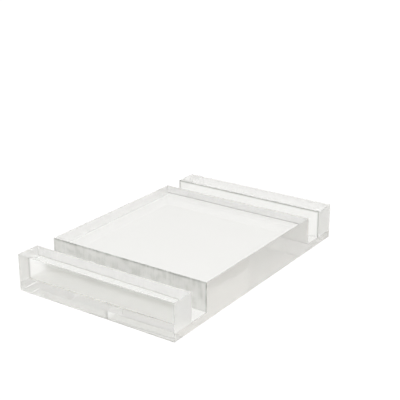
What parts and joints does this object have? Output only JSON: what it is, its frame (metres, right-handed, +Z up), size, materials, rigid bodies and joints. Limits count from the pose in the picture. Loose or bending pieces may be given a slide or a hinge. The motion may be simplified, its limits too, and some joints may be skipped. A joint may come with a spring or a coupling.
{
  "type": "phone stand",
  "caption": "Clear acrylic desk block with a leaning slot for a phone on its long edge, a pen slot and a flat plateau between them.",
  "frame": {"origin": "centre of the resting face, on the surface the stand stands on", "axes": "+X to the right along the slots, +Y from the pen slot towards the phone, +Z up"},
  "size_m": [0.0874, 0.138, 0.018],
  "materials": {
    "clear_acrylic": "polished"
  },
  "bodies": {
    "root": {"base_plate": "clear_acrylic", "front_rail": "clear_acrylic", "centre_block": "clear_acrylic", "rear_rail": "clear_acrylic"}
  },
  "joints": []
}
